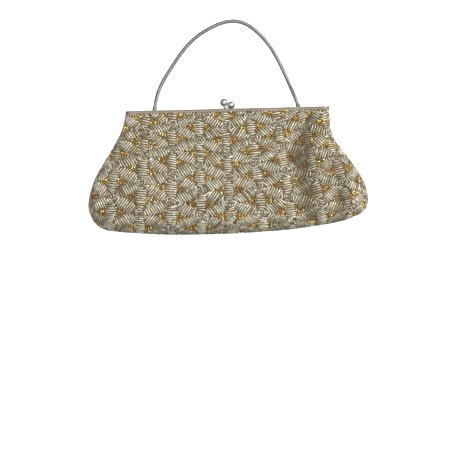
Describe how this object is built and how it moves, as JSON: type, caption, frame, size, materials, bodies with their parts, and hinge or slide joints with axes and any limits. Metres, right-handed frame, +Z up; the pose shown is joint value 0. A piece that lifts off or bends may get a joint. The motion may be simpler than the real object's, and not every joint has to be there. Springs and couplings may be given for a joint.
{
  "type": "beaded frame purse",
  "caption": "Small beaded evening purse lying on its back: a flared hollow bag on a straight hinged metal frame with a kiss clasp and an arched snake-chain handle.",
  "frame": {"origin": "middle of the footprint, on the surface that the purse lies on", "axes": "+X along the frame, to the right as seen from the front; +Y from the bottom of the purse to its handle; +Z up, out of the front panel"},
  "size_m": [0.2484, 0.1912, 0.0288],
  "materials": {
    "beading": "cream and gold silver-lined glass beads sewn close together on taupe cloth",
    "frame_metal": "nickel-plated, lightly worn",
    "knob_metal": "polished",
    "chain_metal": "polished fine links, grey between them"
  },
  "bodies": {
    "root": {"front_panel": "beading", "back_panel": "beading", "frame_front": "frame_metal", "frame_back": "frame_metal", "hinge_rivet_left": "frame_metal", "hinge_rivet_right": "frame_metal", "clasp_knob_front": "knob_metal", "clasp_knob_back": "knob_metal", "handle_chain": "chain_metal", "handle_cap_left": "chain_metal", "handle_cap_right": "chain_metal"}
  },
  "joints": []
}
